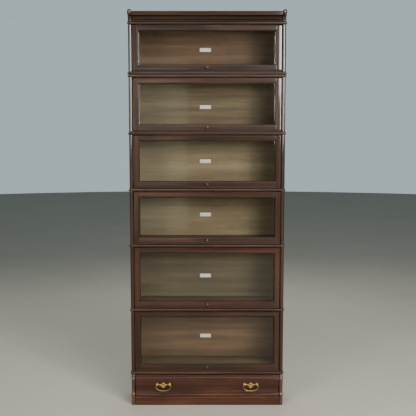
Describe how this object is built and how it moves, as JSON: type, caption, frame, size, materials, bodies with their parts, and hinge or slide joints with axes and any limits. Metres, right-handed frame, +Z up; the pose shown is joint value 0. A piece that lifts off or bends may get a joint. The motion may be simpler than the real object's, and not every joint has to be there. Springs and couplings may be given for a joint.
{
  "type": "barrister bookcase",
  "caption": "Tall sectional glazed bookcase: stacked cases with lift-and-slide doors, a moulded cornice and a base with a shallow drawer.",
  "frame": {"origin": "middle of the footprint's bounding box, on the floor", "axes": "+Z up, -Y towards the front with the doors, +X to the right seen from the front"},
  "size_m": [0.869, 0.303, 2.209],
  "materials": {
    "polished_wood": "dark red-brown mahogany under worn glossy varnish",
    "plain_wood": "unpolished inner and back boards, dull brown",
    "pane_glass": "old clear drawn glass, faintly wavy",
    "rod_steel": "dull steel rod",
    "knob_bronze": "darkened brass knob with worn highlights",
    "pull_brass": "aged cast brass with dark patina in the hollows"
  },
  "bodies": {
    "root": {"section_1_left_end": "polished_wood", "section_1_right_end": "polished_wood", "section_1_case": "polished_wood", "section_2_left_end": "polished_wood", "section_2_right_end": "polished_wood", "section_2_case": "polished_wood", "section_3_left_end": "polished_wood", "section_3_right_end": "polished_wood", "section_3_case": "polished_wood", "section_4_left_end": "polished_wood", "section_4_right_end": "polished_wood", "section_4_case": "polished_wood", "section_5_left_end": "polished_wood", "section_5_right_end": "polished_wood", "section_5_case": "polished_wood", "section_6_left_end": "polished_wood", "section_6_right_end": "polished_wood", "section_6_case": "polished_wood", "cornice_left_end": "polished_wood", "cornice_right_end": "polished_wood", "cornice_moulding": "polished_wood", "cornice_top_board": "polished_wood", "base_left_end": "polished_wood", "base_right_end": "polished_wood", "base_top_board": "polished_wood", "base_plinth": "polished_wood", "base_back_panel": "plain_wood"},
    "door_1_carriage": {"door_1_pivot_rod": "rod_steel"},
    "door_1": {"door_1_frame": "polished_wood", "door_1_glass": "pane_glass", "door_1_knob": "knob_bronze"},
    "door_2_carriage": {"door_2_pivot_rod": "rod_steel"},
    "door_2": {"door_2_frame": "polished_wood", "door_2_glass": "pane_glass", "door_2_knob": "knob_bronze"},
    "door_3_carriage": {"door_3_pivot_rod": "rod_steel"},
    "door_3": {"door_3_frame": "polished_wood", "door_3_glass": "pane_glass", "door_3_knob": "knob_bronze"},
    "door_4_carriage": {"door_4_pivot_rod": "rod_steel"},
    "door_4": {"door_4_frame": "polished_wood", "door_4_glass": "pane_glass", "door_4_knob": "knob_bronze"},
    "door_5_carriage": {"door_5_pivot_rod": "rod_steel"},
    "door_5": {"door_5_frame": "polished_wood", "door_5_glass": "pane_glass", "door_5_knob": "knob_bronze"},
    "door_6_carriage": {"door_6_pivot_rod": "rod_steel"},
    "door_6": {"door_6_frame": "polished_wood", "door_6_glass": "pane_glass", "door_6_knob": "knob_bronze"},
    "drawer": {"drawer_front": "polished_wood", "drawer_left_side": "plain_wood", "drawer_right_side": "plain_wood", "drawer_back": "plain_wood", "drawer_bottom": "plain_wood", "left_pull_plate": "pull_brass", "right_pull_plate": "pull_brass"},
    "left_pull": {"left_pull_bail": "pull_brass"},
    "right_pull": {"right_pull_bail": "pull_brass"}
  },
  "joints": [
    {"name": "door_1_slide", "type": "slide", "parent": "root", "child": "door_1_carriage", "axis": [0, 1, 0], "range_m": [0, 0.1828]},
    {"name": "door_1_swing", "type": "hinge", "parent": "door_1_carriage", "child": "door_1", "pos_m": [0, -0.10054, 2.112], "axis": [-1, 0, 0], "range_deg": [0, 90]},
    {"name": "door_2_slide", "type": "slide", "parent": "root", "child": "door_2_carriage", "axis": [0, 1, 0], "range_m": [0, 0.2248]},
    {"name": "door_2_swing", "type": "hinge", "parent": "door_2_carriage", "child": "door_2", "pos_m": [0, -0.10054, 1.828], "axis": [-1, 0, 0], "range_deg": [0, 90]},
    {"name": "door_3_slide", "type": "slide", "parent": "root", "child": "door_3_carriage", "axis": [0, 1, 0], "range_m": [0, 0.2248]},
    {"name": "door_3_swing", "type": "hinge", "parent": "door_3_carriage", "child": "door_3", "pos_m": [0, -0.10054, 1.515], "axis": [-1, 0, 0], "range_deg": [0, 90]},
    {"name": "door_4_slide", "type": "slide", "parent": "root", "child": "door_4_carriage", "axis": [0, 1, 0], "range_m": [0, 0.2248]},
    {"name": "door_4_swing", "type": "hinge", "parent": "door_4_carriage", "child": "door_4", "pos_m": [0, -0.10054, 1.202], "axis": [-1, 0, 0], "range_deg": [0, 90]},
    {"name": "door_5_slide", "type": "slide", "parent": "root", "child": "door_5_carriage", "axis": [0, 1, 0], "range_m": [0, 0.225]},
    {"name": "door_5_swing", "type": "hinge", "parent": "door_5_carriage", "child": "door_5", "pos_m": [0, -0.10054, 0.889], "axis": [-1, 0, 0], "range_deg": [0, 90]},
    {"name": "door_6_slide", "type": "slide", "parent": "root", "child": "door_6_carriage", "axis": [0, 1, 0], "range_m": [0, 0.225]},
    {"name": "door_6_swing", "type": "hinge", "parent": "door_6_carriage", "child": "door_6", "pos_m": [0, -0.10054, 0.525], "axis": [-1, 0, 0], "range_deg": [0, 90]},
    {"name": "drawer_slide", "type": "slide", "parent": "root", "child": "drawer", "axis": [0, -1, 0], "range_m": [0, 0.2]},
    {"name": "left_pull_swing", "type": "hinge", "parent": "drawer", "child": "left_pull", "pos_m": [-0.248, -0.13136, 0.1175], "axis": [-1, 0, 0], "range_deg": [0, 80]},
    {"name": "right_pull_swing", "type": "hinge", "parent": "drawer", "child": "right_pull", "pos_m": [0.248, -0.13136, 0.1175], "axis": [-1, 0, 0], "range_deg": [0, 80]}
  ],
  "couplings": [
    {"joint": "door_1_slide", "follows": "door_1_swing", "m_per_rad": 0.11637},
    {"joint": "door_2_slide", "follows": "door_2_swing", "m_per_rad": 0.14311},
    {"joint": "door_3_slide", "follows": "door_3_swing", "m_per_rad": 0.14311},
    {"joint": "door_4_slide", "follows": "door_4_swing", "m_per_rad": 0.14311},
    {"joint": "door_5_slide", "follows": "door_5_swing", "m_per_rad": 0.14324},
    {"joint": "door_6_slide", "follows": "door_6_swing", "m_per_rad": 0.14324}
  ]
}
